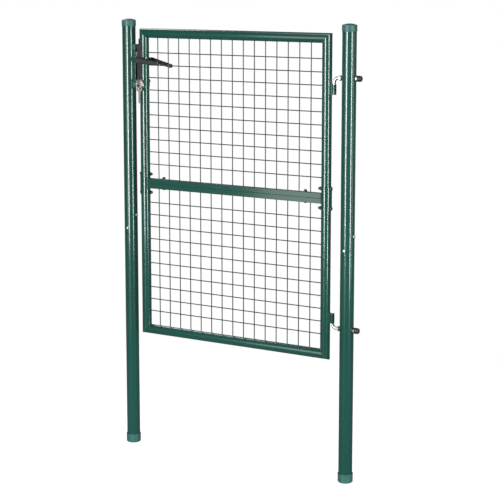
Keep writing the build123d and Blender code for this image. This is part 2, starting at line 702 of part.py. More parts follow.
BOLT_LEVELS = (SEAM_Z + BRACKET_BOLT_DROP, SEAM_Z - BRACKET_BOLT_DROP)
BOLT_HEAD_R = 7.0
BOLT_HEAD = 3.0
BOLT_SOCKET = 5.0
BOLT_SOCKET_DEPTH = 1.8
DOME_NUT_FLATS = 13.0
DOME_NUT_HEX = 6.5
DOME_NUT_DOME_R = 5.9
DOME_NUT_LENGTH = 15.0
DOME_NUT_BORE = 11.0


def stile_bracket(x, outward):
    """A half shell that clasps the two halves of a stile from outside."""
    with BuildSketch(Plane.XY.offset(SEAM_Z - BRACKET_HEIGHT / 2)) as profile:
        with Locations((x, 0)):
            Circle(BRACKET_R)
            Circle(FRAME_R + CLEARANCE, mode=Mode.SUBTRACT)
        with Locations((x - outward * BRACKET_R / 2, 0)):
            Rectangle(BRACKET_R, 2 * BRACKET_R, mode=Mode.SUBTRACT)
    extrude(profile.sketch, amount=BRACKET_HEIGHT)
    for bolt_z in BOLT_LEVELS:
        drill(facing(x + outward * (BRACKET_R + 1), 0, bolt_z, (outward, 0, 0)), M8_HOLE_R, BRACKET_R)


with BuildPart() as hinge_stile_bracket:
    stile_bracket(HINGE_STILE_X, 1)
hinge_stile_bracket.part.label = "hinge_stile_bracket"
export_step(hinge_stile_bracket.part, "parts/hinge_stile_bracket.step")

with BuildPart() as latch_stile_bracket:
    stile_bracket(LATCH_STILE_X, -1)
latch_stile_bracket.part.label = "latch_stile_bracket"
export_step(latch_stile_bracket.part, "parts/latch_stile_bracket.step")

with BuildPart() as bracket_bolts:
    for stile_x, outward in STILES:
        for bolt_z in BOLT_LEVELS:
            head_plane = facing(stile_x + outward * (BRACKET_R + CLEARANCE), 0, bolt_z, (outward, 0, 0))
            shank = BRACKET_R + FRAME_R + DOME_NUT_BORE - 1
            pan_screw(head_plane, BOLT_HEAD_R, BOLT_HEAD, M8_R, shank)
            hexagon(head_plane.offset(BOLT_HEAD), BOLT_SOCKET, -BOLT_SOCKET_DEPTH, mode=Mode.SUBTRACT)
bracket_bolts.part.label = "bracket_bolts"
export_step(bracket_bolts.part, "parts/bracket_bolts.step")

with BuildPart() as bracket_dome_nuts:
    for stile_x, outward in STILES:
        for bolt_z in BOLT_LEVELS:
            seat = facing(stile_x - outward * (FRAME_R + CLEARANCE), 0, bolt_z, (-outward, 0, 0))
            hexagon(seat, DOME_NUT_FLATS, DOME_NUT_HEX)
            dome(seat, DOME_NUT_DOME_R, DOME_NUT_LENGTH, DOME_NUT_DOME_R - 0.5)
            disc(seat, M8_R + CLEARANCE, DOME_NUT_BORE, mode=Mode.SUBTRACT)
bracket_dome_nuts.part.label = "bracket_dome_nuts"
export_step(bracket_dome_nuts.part, "parts/bracket_dome_nuts.step")

RAIL_NUT_FLATS = 13.0
RAIL_NUT = 6.8
RAIL_BOLTS_X = (LATCH_STILE_X + RAIL_BOLT_INSET, HINGE_STILE_X - RAIL_BOLT_INSET)
RAIL_STACK_TOP = SEAM_Z + RUNNING + RAIL_SIDE + RUNNING
RAIL_STACK_BOTTOM = SEAM_Z - RUNNING - RAIL_SIDE - RUNNING

with BuildPart() as rail_bolts:
    for bolt_x in RAIL_BOLTS_X:
        head_plane = facing(bolt_x, 0, RAIL_STACK_BOTTOM, (0, 0, -1))
        pan_screw(head_plane, BOLT_HEAD_R, BOLT_HEAD, M8_R, 2 * RAIL_SIDE + RAIL_NUT + 3)
        hexagon(head_plane.offset(BOLT_HEAD), BOLT_SOCKET, -BOLT_SOCKET_DEPTH, mode=Mode.SUBTRACT)
rail_bolts.part.label = "rail_bolts"
export_step(rail_bolts.part, "parts/rail_bolts.step")

with BuildPart() as rail_nuts:
    for bolt_x in RAIL_BOLTS_X:
        seat = facing(bolt_x, 0, RAIL_STACK_TOP, (0, 0, 1))
        hexagon(seat, RAIL_NUT_FLATS, RAIL_NUT)
        disc(seat, M8_R + CLEARANCE, RAIL_NUT, mode=Mode.SUBTRACT)
rail_nuts.part.label = "rail_nuts"
export_step(rail_nuts.part, "parts/rail_nuts.step")

# ---- lock: fixed pieces -------------------------------------------------------------------

SLIDE_GAP = 0.2  # round the latch and the dead bolt
TRUNNION_R = 7.0
CASE_FRONT_X = FOREND_BACK_X + CLEARANCE
CASE_BACK_X = LATCH_STILE_X + CASE_BACK
CASE_LID = CASE_HALF_DEPTH - CASE_WALL
CYLINDER_SCREW_R = 2.5
CYLINDER_SCREW_DROP = 19.5
CYLINDER_SCREW_Z = CYLINDER_Z - CYLINDER_SCREW_DROP
CAM_ROOM = 5.2
CAM_HALF_DEPTH = 5.0
CAM_R = 13.5
ROSE_R = 13.0
ROSE_INNER_Y = COVER_HALF_DEPTH + CLEARANCE
ROSE_OUTER_Y = 25.0


def cut_bolt_holes(x_range, gap):
    """The openings for the latch and the dead bolt in a plate across their path."""
    latch_y = LATCH_HALF_DEPTH + gap
    latch_z = (LATCH_BOTTOM - gap, LATCH_BOTTOM + LATCH_HEIGHT + gap)
    bolt_y = BOLT_HALF_DEPTH + gap
    bolt_z = (BOLT_BOTTOM - gap, BOLT_BOTTOM + BOLT_HEIGHT + gap)
    block(x_range, (-latch_y, latch_y), latch_z, mode=Mode.SUBTRACT)
    block(x_range, (-bolt_y, bolt_y), bolt_z, mode=Mode.SUBTRACT)


with BuildPart() as lock_cover:
    cover_top = COVER_BOTTOM + COVER_HEIGHT
    cover_inner_y = COVER_HALF_DEPTH - COVER_WALL
    cover_x = (COVER_FACE_X, LATCH_STILE_X + COVER_EDGE)
    block(cover_x, (-COVER_HALF_DEPTH, COVER_HALF_DEPTH), (COVER_BOTTOM, cover_top))
    fillet(edges().filter_by(Axis.Z).group_by(Axis.X)[0], 3)
    hollow_x = (COVER_FACE_X + COVER_WALL, LATCH_STILE_X + COVER_EDGE + 1)
    block(hollow_x, (-cover_inner_y, cover_inner_y), (COVER_BOTTOM - 1, cover_top + 1), mode=Mode.SUBTRACT)
    cut_bolt_holes((COVER_FACE_X - 1, COVER_FACE_X + COVER_WALL + 1), 1)
    cut_spindle_hole()
    cut_cylinder_hole()
lock_cover.part.label = "lock_cover"
export_step(lock_cover.part, "parts/lock_cover.step")

with BuildPart() as lock_forend:
    forend_x = (FOREND_FACE_X, FOREND_BACK_X)
    forend_z = (FOREND_BOTTOM, FOREND_BOTTOM + FOREND_LENGTH)
    block(forend_x, (-FOREND_HALF_WIDTH, FOREND_HALF_WIDTH), forend_z)
    fillet(edges().filter_by(Axis.X), 2)
    cut_bolt_holes((FOREND_FACE_X - 1, FOREND_BACK_X + 1), SLIDE_GAP)
    for screw_z in FOREND_SCREWS_Z:
        screw_plane = facing(FOREND_FACE_X, 0, screw_z, (-1, 0, 0))
        flat_screw_hole(screw_plane, LOCK_SCREW_HEAD_R, LOCK_SCREW_R, 5)
    screw_plane = facing(FOREND_FACE_X, 0, CYLINDER_SCREW_Z, (-1, 0, 0))
    flat_screw_hole(screw_plane, LOCK_SCREW_HEAD_R, CYLINDER_SCREW_R, 5)
lock_forend.part.label = "lock_forend"
export_step(lock_forend.part, "parts/lock_forend.step")

with BuildPart() as forend_screws:
    for screw_z in FOREND_SCREWS_Z:
        screw_plane = facing(FOREND_FACE_X, 0, screw_z, (-1, 0, 0))
        flat_screw(screw_plane, LOCK_SCREW_HEAD_R, LOCK_SCREW_R, LOCK_SCREW_LENGTH)
        cross_recess(screw_plane, LOCK_SCREW_HEAD_R)
forend_screws.part.label = "forend_screws"
export_step(forend_screws.part, "parts/forend_screws.step")

with BuildPart() as lock_case:
    block((CASE_FRONT_X, CASE_BACK_X), (-CASE_HALF_DEPTH, CASE_LID - CLEARANCE), (CASE_BOTTOM, CASE_TOP))
    room_x = (CASE_FRONT_X + CASE_WALL, CASE_BACK_X - CASE_WALL)
    room_z = (CASE_BOTTOM + CASE_WALL, CASE_TOP - CASE_WALL)
    block(room_x, (-CASE_LID, CASE_HALF_DEPTH), room_z, mode=Mode.SUBTRACT)
    cut_bolt_holes((CASE_FRONT_X - 1, CASE_FRONT_X + CASE_WALL + 0.1), SLIDE_GAP)
    drill(facing(LATCH_STILE_X, 0, HANDLE_Z, (0, 1, 0)), TRUNNION_R + RUNNING, CASE_HALF_DEPTH + 1)
    cut_cylinder_hole()
    drill(facing(LATCH_STILE_X, 0, CYLINDER_SCREW_Z, (1, 0, 0)), CYLINDER_SCREW_R + CLEARANCE, FRAME_R + 1)
lock_case.part.label = "lock_case"
export_step(lock_case.part, "parts/lock_case.step")

with BuildPart() as lock_case_cover:
    block((CASE_FRONT_X, CASE_BACK_X), (CASE_LID, CASE_HALF_DEPTH), (CASE_BOTTOM, CASE_TOP))
    behind = facing(LATCH_STILE_X, CASE_HALF_DEPTH + 1, HANDLE_Z, (0, 1, 0))
    drill(behind, TRUNNION_R + RUNNING, CASE_HALF_DEPTH)
    cut_cylinder_hole()
lock_case_cover.part.label = "lock_case_cover"
export_step(lock_case_cover.part, "parts/lock_case_cover.step")

with BuildPart() as handle_roses:
    for side in (-1, 1):
        rose_plane = facing(LATCH_STILE_X, side * ROSE_INNER_Y, HANDLE_Z, (0, side, 0))
        dome(rose_plane, ROSE_R, ROSE_OUTER_Y - ROSE_INNER_Y, 1.5)
        disc(rose_plane, LEVER_NECK_R + RUNNING, ROSE_OUTER_Y, mode=Mode.SUBTRACT)
handle_roses.part.label = "handle_roses"
export_step(handle_roses.part, "parts/handle_roses.step")

with BuildPart() as key_cylinder:
    cylinder_front = Plane(
        origin=(LATCH_STILE_X, -CYLINDER_HALF_LENGTH, CYLINDER_Z), x_dir=(1, 0, 0), z_dir=(0, -1, 0)
    )
    cylinder_length = 2 * CYLINDER_HALF_LENGTH
    cylinder_shape(cylinder_front, CYLINDER_R, CYLINDER_FOOT / 2, CYLINDER_DROP, cylinder_length)
    disc(cylinder_front, PLUG_R + RUNNING, -2 * CYLINDER_HALF_LENGTH, mode=Mode.SUBTRACT)
    cam_room_x = (LATCH_STILE_X - CYLINDER_R - 1, LATCH_STILE_X + CYLINDER_R + 1)
    cam_room_z = (CYLINDER_Z - CAM_R - 0.5, CYLINDER_Z + CYLINDER_R + 1)
    block(cam_room_x, (-CAM_ROOM, CAM_ROOM), cam_room_z, mode=Mode.SUBTRACT)
    screw_hole = facing(LATCH_STILE_X + CYLINDER_FOOT, 0, CYLINDER_SCREW_Z, (1, 0, 0))
    drill(screw_hole, CYLINDER_SCREW_R + CLEARANCE, 2 * CYLINDER_FOOT)
key_cylinder.part.label = "key_cylinder"
export_step(key_cylinder.part, "parts/key_cylinder.step")

with BuildPart() as cylinder_screw:
    screw_plane = facing(FOREND_FACE_X, 0, CYLINDER_SCREW_Z, (-1, 0, 0))
    flat_screw(screw_plane, LOCK_SCREW_HEAD_R, CYLINDER_SCREW_R, FRAME_R + 7)
    cross_recess(screw_plane, LOCK_SCREW_HEAD_R)
cylinder_screw.part.label = "cylinder_screw"
export_step(cylinder_screw.part, "parts/cylinder_screw.step")

# ---- lock: handle and latch ---------------------------------------------------------------

LEVER_NECK_START = 21.6
LEVER_ARM_Y = 44.5
LEVER_THICKNESS = 11.0
FRONT_HUB_R = 11.0
BACK_HUB_R = 9.0
LEVER_TIP_R = 7.5
LEVER_LENGTH = 104.0
SOCKET_DEPTH = 17.0
SOCKET_SIDE = SPINDLE_SIDE + 0.1
GRUB_R = 2.5
GRUB_LENGTH = 3.5
GRUB_Y = 32.0


def lever(side, droop_degrees, hub_r):
    """A lever handle on its neck. side is -1 in front and 1 behind; the arm points along the gate."""
    neck_plane = facing(LATCH_STILE_X, side * LEVER_NECK_START, HANDLE_Z, (0, side, 0))
    disc(neck_plane, LEVER_NECK_R, LEVER_ARM_Y - LEVER_NECK_START + 1)
    droop = radians(droop_degrees)
    arm_start = (LATCH_STILE_X, side * LEVER_ARM_Y, HANDLE_Z)
    along = (cos(droop), 0, -sin(droop))
    arm_plane = Plane(origin=arm_start, x_dir=along, z_dir=(0, side, 0))
    with BuildSketch(arm_plane) as profile:
        Circle(hub_r)
        with Locations((LEVER_LENGTH - LEVER_TIP_R, 0)):
            Circle(LEVER_TIP_R)
        make_hull()
    extrude(profile.sketch, amount=LEVER_THICKNESS)
    rim = faces().filter_by(Axis.Y).group_by(lambda f: side * f.center().Y)[-1]
    fillet(rim.edges(), 3)
    with BuildSketch(neck_plane) as profile:
        Rectangle(SOCKET_SIDE, SOCKET_SIDE)
    extrude(profile.sketch, amount=SOCKET_DEPTH, mode=Mode.SUBTRACT)
    drill(facing(LATCH_STILE_X, side * GRUB_Y, HANDLE_Z, (0, 0, 1)), GRUB_R + RUNNING, LEVER_NECK_R + 1)


with BuildPart() as front_lever:
    lever(-1, FRONT_LEVER_DROOP, FRONT_HUB_R)
front_lever.part.label = "front_lever"
export_step(front_lever.part, "parts/front_lever.step")

with BuildPart() as back_lever:
    lever(1, BACK_LEVER_DROOP, BACK_HUB_R)
back_lever.part.label = "back_lever"
export_step(back_lever.part, "parts/back_lever.step")

with BuildPart() as lever_grub_screws:
    for side in (-1, 1):
        grub_top = HANDLE_Z - SOCKET_SIDE / 2 - CLEARANCE
        disc(facing(LATCH_STILE_X, side * GRUB_Y, grub_top, (0, 0, -1)), GRUB_R, GRUB_LENGTH)
lever_grub_screws.part.label = "lever_grub_screws"
export_step(lever_grub_screws.part, "parts/lever_grub_screws.step")

with BuildPart() as handle_spindle:
    with Locations((LATCH_STILE_X, 0, HANDLE_Z)):
        Box(SPINDLE_SIDE, 2 * SPINDLE_HALF_LENGTH, SPINDLE_SIDE)
handle_spindle.part.label = "handle_spindle"
export_step(handle_spindle.part, "parts/handle_spindle.step")

HUB_R = 8.0
HUB_HALF_DEPTH = 6.0
ARM_HALF_DEPTH = 4.0
ARM_WIDTH = 3.0
TIP_R = 2.5
ARM_START = HANDLE_STROKE / 2  # degrees to the latch's side of upright
TIP_X = LATCH_STILE_X - FOLLOWER_REACH * sin(radians(ARM_START))

with BuildPart() as lock_follower:
    hub_plane = Plane(origin=(LATCH_STILE_X, 0, HANDLE_Z), x_dir=(1, 0, 0), z_dir=(0, -1, 0))
    disc(hub_plane.offset(-HUB_HALF_DEPTH), HUB_R, 2 * HUB_HALF_DEPTH)
    disc(hub_plane.offset(0.1 - CASE_HALF_DEPTH), TRUNNION_R, 2 * (CASE_HALF_DEPTH - 0.1))
    with BuildSketch(hub_plane.offset(-ARM_HALF_DEPTH)):
        with Locations(Location((0, 0), ARM_START)):
            with Locations((0, FOLLOWER_REACH / 2)):
                Rectangle(ARM_WIDTH, FOLLOWER_REACH)
            with Locations((0, FOLLOWER_REACH)):
                Circle(TIP_R)
    extrude(amount=2 * ARM_HALF_DEPTH)
    with BuildSketch(hub_plane.offset(-CASE_HALF_DEPTH)):
        Rectangle(SOCKET_SIDE, SOCKET_SIDE)
    extrude(amount=2 * CASE_HALF_DEPTH, mode=Mode.SUBTRACT)
lock_follower.part.label = "lock_follower"
export_step(lock_follower.part, "parts/lock_follower.step")

LATCH_NOSE_X = COVER_FACE_X - LATCH_THROW
LATCH_SHOULDER_X = TIP_X - 5
TAIL_HALF_DEPTH = 2.0
TAIL_END_X = TIP_X + 4.5
TAIL_BOTTOM = LATCH_BOTTOM + 5.2
TAIL_HEIGHT = 14.8
TAIL_SLOT = 2.65
TAIL_SLOT_TOP = HANDLE_Z + 23.0
LATCH_BEVEL = 7.0

with BuildPart() as latch_bolt:
    with BuildSketch(Plane.XY.offset(LATCH_BOTTOM)):
        with BuildLine():
            Polyline(
                (LATCH_SHOULDER_X, -LATCH_HALF_DEPTH),
                (LATCH_SHOULDER_X, LATCH_HALF_DEPTH),
                (LATCH_NOSE_X + LATCH_BEVEL, LATCH_HALF_DEPTH),
                (LATCH_NOSE_X, -LATCH_HALF_DEPTH / 2),
                (LATCH_NOSE_X, -LATCH_HALF_DEPTH),
                close=True,
            )
        make_face()
    extrude(amount=LATCH_HEIGHT)
    tail_z = (TAIL_BOTTOM, TAIL_BOTTOM + TAIL_HEIGHT)
    block((LATCH_SHOULDER_X - 1, TAIL_END_X), (-TAIL_HALF_DEPTH, TAIL_HALF_DEPTH), tail_z)
    slot_z = (TAIL_BOTTOM - 1, TAIL_SLOT_TOP)
    slot_x = (TIP_X - TAIL_SLOT, TIP_X + TAIL_SLOT)
    block(slot_x, (-LATCH_HALF_DEPTH - 1, LATCH_HALF_DEPTH + 1), slot_z, mode=Mode.SUBTRACT)
latch_bolt.part.label = "latch_bolt"
export_step(latch_bolt.part, "parts/latch_bolt.step")

with BuildPart() as dead_bolt:
    bolt_z = (BOLT_BOTTOM, BOLT_BOTTOM + BOLT_HEIGHT)
    block((COVER_FACE_X, COVER_FACE_X + 34), (-BOLT_HALF_DEPTH, BOLT_HALF_DEPTH), bolt_z)
    fillet(edges().filter_by(Axis.Z).group_by(Axis.X)[0], 1)
dead_bolt.part.label = "dead_bolt"
export_step(dead_bolt.part, "parts/dead_bolt.step")

# ---- lock: cylinder plug and keys ---------------------------------------------------------

KEY_THICKNESS = 2.0
KEY_WIDTH = 8.4
KEY_NECK = 10.0
KEY_BLADE = 36.0
KEY_BOW_WIDTH = 23.0
KEY_BOW = 18.0
KEY_HOLE_WIDTH = 10.0
KEY_HOLE = 6.0
KEY_HOLE_Y = 22.0
KEYWAY_GAP = 0.15
NOTCHES = 5
NOTCH_PITCH = 5.0
NOTCH_DEPTH = 1.6
SHOULDER_Y = -CYLINDER_HALF_LENGTH - CLEARANCE
RING_WIRE_R = 1.0
RING_R = 15.0
RING_Y = -37.6
RING_TOP_Z = CYLINDER_Z + KEY_WIDTH / 2 + 0.3 + RING_WIRE_R
SPARE_TURN = 38.0  # degrees, how far the spare key is turned towards the hinge


def key(plane):
    """A flat key. The plane's origin is at its shoulder and its blade points down the plane's y axis."""
    with BuildSketch(plane.offset(-KEY_THICKNESS / 2)) as profile:
        with Locations((0, (KEY_NECK - KEY_BLADE) / 2)):
            Rectangle(KEY_WIDTH, KEY_NECK + KEY_BLADE + 2)
        with Locations((0, KEY_NECK + KEY_BOW / 2)):
            RectangleRounded(KEY_BOW_WIDTH, KEY_BOW, 7)
        with Locations((0, KEY_HOLE_Y)):
            RectangleRounded(KEY_HOLE_WIDTH, KEY_HOLE, 2, mode=Mode.SUBTRACT)
        with Locations((KEY_WIDTH / 2, -KEY_BLADE / 2)):
            with GridLocations(NOTCH_PITCH, NOTCH_PITCH, 1, NOTCHES):
                Rectangle(2 * NOTCH_DEPTH, NOTCH_PITCH / 2, rotation=45, mode=Mode.SUBTRACT)
    extrude(profile.sketch, amount=KEY_THICKNESS)


with BuildPart() as cylinder_plug:
    disc(cylinder_front, PLUG_R, -2 * CYLINDER_HALF_LENGTH)
    keyway_x = KEY_THICKNESS / 2 + KEYWAY_GAP
    keyway_z = KEY_WIDTH / 2 + KEYWAY_GAP
    keyway_y = (SHOULDER_Y - 1, SHOULDER_Y + KEY_BLADE + 2)
    block(
        (LATCH_STILE_X - keyway_x, LATCH_STILE_X + keyway_x),
        keyway_y,
        (CYLINDER_Z - keyway_z, CYLINDER_Z + keyway_z),
        mode=Mode.SUBTRACT,
    )
cylinder_plug.part.label = "cylinder_plug"
export_step(cylinder_plug.part, "parts/cylinder_plug.step")

with BuildPart() as plug_cam:
    with BuildSketch(cylinder_front.offset(-CYLINDER_HALF_LENGTH - CAM_HALF_DEPTH)):
        Circle(CYLINDER_R)
        with Locations((0, CAM_R / 2)):
            Rectangle(6, CAM_R)
        Circle(PLUG_R + CLEARANCE, mode=Mode.SUBTRACT)
    extrude(amount=2 * CAM_HALF_DEPTH)
plug_cam.part.label = "plug_cam"
export_step(plug_cam.part, "parts/plug_cam.step")

with BuildPart() as inserted_key:
    key(Plane(origin=(LATCH_STILE_X, SHOULDER_Y, CYLINDER_Z), x_dir=(0, 0, 1), z_dir=(1, 0, 0)))
inserted_key.part.label = "inserted_key"
export_step(inserted_key.part, "parts/inserted_key.step")

with BuildPart() as key_ring:
    with Locations(Location((LATCH_STILE_X, RING_Y, RING_TOP_Z - RING_R), (90, 0, 0))):
        Torus(RING_R, RING_WIRE_R)
key_ring.part.label = "key_ring"
export_step(key_ring.part, "parts/key_ring.step")

with BuildPart() as spare_key:
    turn = radians(SPARE_TURN)
    ring_bottom = RING_TOP_Z - 2 * RING_R
    shoulder_z = ring_bottom + RING_WIRE_R + 0.15 - KEY_HOLE / 2 - KEY_HOLE_Y
    key(
        Plane(
            origin=(LATCH_STILE_X, RING_Y, shoulder_z),
            x_dir=(cos(turn), sin(turn), 0),
            z_dir=(sin(turn), -cos(turn), 0),
        )
    )
spare_key.part.label = "spare_key"
export_step(spare_key.part, "parts/spare_key.step")
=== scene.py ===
import json
import math

import bpy
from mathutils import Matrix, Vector


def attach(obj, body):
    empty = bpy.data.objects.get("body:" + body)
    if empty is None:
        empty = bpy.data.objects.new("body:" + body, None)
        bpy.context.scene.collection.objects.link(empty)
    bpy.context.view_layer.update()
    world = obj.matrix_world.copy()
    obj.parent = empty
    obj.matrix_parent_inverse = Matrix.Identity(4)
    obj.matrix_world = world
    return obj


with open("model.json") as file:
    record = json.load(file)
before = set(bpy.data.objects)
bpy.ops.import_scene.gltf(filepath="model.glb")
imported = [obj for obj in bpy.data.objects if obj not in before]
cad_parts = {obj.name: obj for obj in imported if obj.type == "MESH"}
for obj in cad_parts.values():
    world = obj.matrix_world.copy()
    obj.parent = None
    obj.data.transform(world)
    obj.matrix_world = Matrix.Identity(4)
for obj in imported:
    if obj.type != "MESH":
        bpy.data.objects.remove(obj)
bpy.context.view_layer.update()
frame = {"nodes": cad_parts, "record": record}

# Lengths are in metres, in the CAD's own frame: X towards the hinge post, -Y the front, Z up.

# ---- camera and light ---------------------------------------------------------------------

CAMERA_PLACE = (2.65605, -5.09087, 1.97788)
CAMERA_YAW = 31.2308
CAMERA_PITCH = -9.052
CAMERA_LENS = 110.955
CAMERA_SHIFT = -0.08
LIGHT_CENTRE = Vector((-0.5, 0, 0.95))
# azimuth from the front towards the hinge post, elevation, distance, width, height, watts
LIGHTS = {
    "bright_panel": (-4, 8, 4.2, 0.6, 2.9, 180),
    "dim_panel": (-22, 8, 4.4, 1.2, 2.9, 30),
    "narrow_strip": (72, 9, 3.6, 0.35, 2.9, 100),
    "edge_strip": (98, 9, 3.8, 0.3, 2.9, 14),
    "back_strip": (240, 35, 4.2, 0.7, 2.9, 50),
    "overhead": (20, 82, 3.6, 3.0, 3.0, 40),
}
WORLD_LIGHT = 0.13
WORLD_BACKGROUND = 1.0
FLOOR_CENTRE = (-0.5, 0, -0.0005)
FLOOR_R = 1.9
FLOOR_GLOW = 0.8

# ---- frame places -------------------------------------------------------------------------

STILES_X = (-0.093, -0.927)
FRAME_R = 0.019
TOP_RAIL_Z = 1.707
BOTTOM_RAIL_Z = 0.495
SEAM_Z = 1.101
RAIL_SIDE = 0.020
LEAF_MIDDLE_X = -0.510
PITCH = 0.050
WIRE_LAYER = 0.0017
WIRE_COLUMNS = 15
FIRST_ROWS_Z = (1.6295, 1.0225)
WIRE_ROWS = 10
SLEEVES_Z = ((1.497, 1.535), (0.621, 0.659))
LUG_HALF = 0.004

# ---- weld sizes ---------------------------------------------------------------------------

CORNER_RIPPLES = 46
CORNER_RIPPLE = 0.0015
LUG_RIPPLE = 0.0019
RAIL_RIPPLE = 0.0017
RIPPLE_SWELL = 0.0002


def near(azimuth, elevation, distance):
    a, e = math.radians(azimuth), math.radians(elevation)
    direction = Vector((math.sin(a) * math.cos(e), -math.cos(a) * math.cos(e), math.sin(e)))
    return LIGHT_CENTRE + direction * distance


def add_light(name, azimuth, elevation, distance, width, height, watts):
    lamp = bpy.data.lights.new(name, "AREA")
    lamp.shape = "RECTANGLE"
    lamp.size, lamp.size_y, lamp.energy = width, height, watts
    holder = bpy.data.objects.new(name, lamp)
    holder.location = near(azimuth, elevation, distance)
    holder.rotation_euler = (LIGHT_CENTRE - holder.location).to_track_quat("-Z", "Y").to_euler()
    bpy.context.collection.objects.link(holder)


def add_camera():
    data = bpy.data.cameras.new("camera")
    data.lens = CAMERA_LENS
    data.sensor_width = 36
    data.shift_y = CAMERA_SHIFT
    data.clip_end = 200
    camera = bpy.data.objects.new("camera", data)
    camera.location = CAMERA_PLACE
    camera.rotation_euler = (math.radians(90 + CAMERA_PITCH), 0, math.radians(CAMERA_YAW))
    bpy.context.collection.objects.link(camera)
    bpy.context.scene.camera = camera


def set_world():
    """White to look at, and greyer as a light, so that dark paint keeps its depth."""
    world = bpy.data.worlds.new("studio")
    bpy.context.scene.world = world
    world.use_nodes = True
    tree = world.node_tree
    tree.nodes.clear()
    output = tree.nodes.new("ShaderNodeOutputWorld")
    mix = tree.nodes.new("ShaderNodeMixShader")
    path = tree.nodes.new("ShaderNodeLightPath")
    tree.links.new(path.outputs["Is Camera Ray"], mix.inputs[0])
    for socket, strength in ((1, WORLD_LIGHT), (2, WORLD_BACKGROUND)):
        sky = tree.nodes.new("ShaderNodeBackground")
        sky.inputs["Color"].default_value = (1, 1, 1, 1)
        sky.inputs["Strength"].default_value = strength
        tree.links.new(sky.outputs[0], mix.inputs[socket])
    tree.links.new(mix.outputs[0], output.inputs["Surface"])


# ---- materials ----------------------------------------------------------------------------


def make_material(name, dark, light, patch, rough, grain, bump, **constants):
    """A shader whose colour and roughness drift over the surface, with a fine grain in its bump.

    patch and grain are noise scales, in repeats a metre.
    constants are set on the shader's own sockets.
    """
    material = bpy.data.materials.new(name)
    material.use_nodes = True
    tree = material.node_tree
    shader = tree.nodes["Principled BSDF"]
    for socket, value in constants.items():
        shader.inputs[socket.replace("_", " ")].default_value = value
    place = tree.nodes.new("ShaderNodeTexCoord")

    def noise(scale, detail):
        node = tree.nodes.new("ShaderNodeTexNoise")
        node.inputs["Scale"].default_value = scale
        node.inputs["Detail"].default_value = detail
        tree.links.new(place.outputs["Object"], node.inputs["Vector"])
        return node.outputs["Fac"]

    def spread(value, low, high):
        node = tree.nodes.new("ShaderNodeMapRange")
        node.inputs["From Min"].default_value = 0.3
        node.inputs["From Max"].default_value = 0.7
        node.inputs["To Min"].default_value = low
        node.inputs["To Max"].default_value = high
        tree.links.new(value, node.inputs["Value"])
        return node.outputs["Result"]

    drift = noise(patch, 3)
    ramp = tree.nodes.new("ShaderNodeValToRGB")
    ramp.color_ramp.elements[0].position = 0.32
    ramp.color_ramp.elements[1].position = 0.68
    ramp.color_ramp.elements[0].color = (*dark, 1)
    ramp.color_ramp.elements[1].color = (*light, 1)
    tree.links.new(drift, ramp.inputs["Fac"])
    tree.links.new(ramp.outputs["Color"], shader.inputs["Base Color"])
    tree.links.new(spread(noise(patch * 3, 2), *rough), shader.inputs["Roughness"])
    height = tree.nodes.new("ShaderNodeBump")
    height.inputs["Strength"].default_value = bump
    height.inputs["Distance"].default_value = 0.0003
    tree.links.new(noise(grain, 2), height.inputs["Height"])
    tree.links.new(height.outputs["Normal"], shader.inputs["Normal"])
    return material


PAINT_DARK = (0.004, 0.046, 0.035)
PAINT_LIGHT = (0.006, 0.056, 0.043)
paint = make_material(
    "green_paint", PAINT_DARK, PAINT_LIGHT, 2.5, (0.22, 0.27), 900, 0.004,
    Coat_Weight=1.0, Coat_Roughness=0.11, Specular_IOR_Level=0.25,
)
wire_coat = make_material(
    "wire_coating", (0.003, 0.012, 0.012), (0.005, 0.020, 0.018), 14, (0.38, 0.5), 1100, 0.2,
    Coat_Weight=0.15, Coat_Roughness=0.2,
)
weld_paint = make_material(
    "painted_weld", (0.008, 0.048, 0.040), (0.016, 0.075, 0.064), 260, (0.34, 0.5), 420, 0.3,
    Coat_Weight=0.1, Coat_Roughness=0.2,
)
cap_plastic = make_material(
    "green_plastic", (0.018, 0.085, 0.076), (0.026, 0.105, 0.094), 30, (0.42, 0.52), 1500, 0.15,
    Specular_IOR_Level=0.45,
)
black_plastic = make_material(
    "black_plastic", (0.008, 0.009, 0.011), (0.020, 0.023, 0.026), 60, (0.30, 0.42), 1300, 0.3,
    Specular_IOR_Level=0.5,
)
zinc = make_material(
    "zinc_steel", (0.52, 0.53, 0.53), (0.74, 0.74, 0.73), 220, (0.24, 0.42), 900, 0.15,
    Metallic=1.0,
)
nickel = make_material(
    "nickel_plate", (0.66, 0.65, 0.62), (0.80, 0.79, 0.77), 120, (0.26, 0.36), 800, 0.06,
    Metallic=1.0,
)
dark_steel = make_material(
    "dark_steel", (0.035, 0.037, 0.040), (0.075, 0.078, 0.080), 200, (0.22, 0.34), 900, 0.1,
    Metallic=1.0,
)
lock_steel = make_material(
    "lock_steel", (0.34, 0.35, 0.36), (0.52, 0.53, 0.54), 160, (0.30, 0.48), 1000, 0.2,
    Metallic=1.0,
)

FINISHES = {
    "green_paint": paint,
    "green_plastic": cap_plastic,
    "black_plastic": black_plastic,
    "zinc_steel": zinc,
    "nickel": nickel,
}
SPECIAL = {
    "mesh_upper": wire_coat,
    "mesh_lower": wire_coat,
    "bracket_dome_nuts": dark_steel,
    "rail_bolts": dark_steel,
    "rail_nuts": dark_steel,
    "lock_case": lock_steel,
    "lock_case_cover": lock_steel,
    "lock_forend": lock_steel,
    "lock_follower": lock_steel,
}


def paint_cad_nodes():
    for part in frame["record"]["subparts"]:
        node = frame["nodes"][part["node"]]
        finish = SPECIAL.get(part["node"], FINISHES[part["material_slot"]])
        node.data.materials.clear()
        node.data.materials.append(finish)


# ---- welds and wire ends ------------------------------------------------------------------


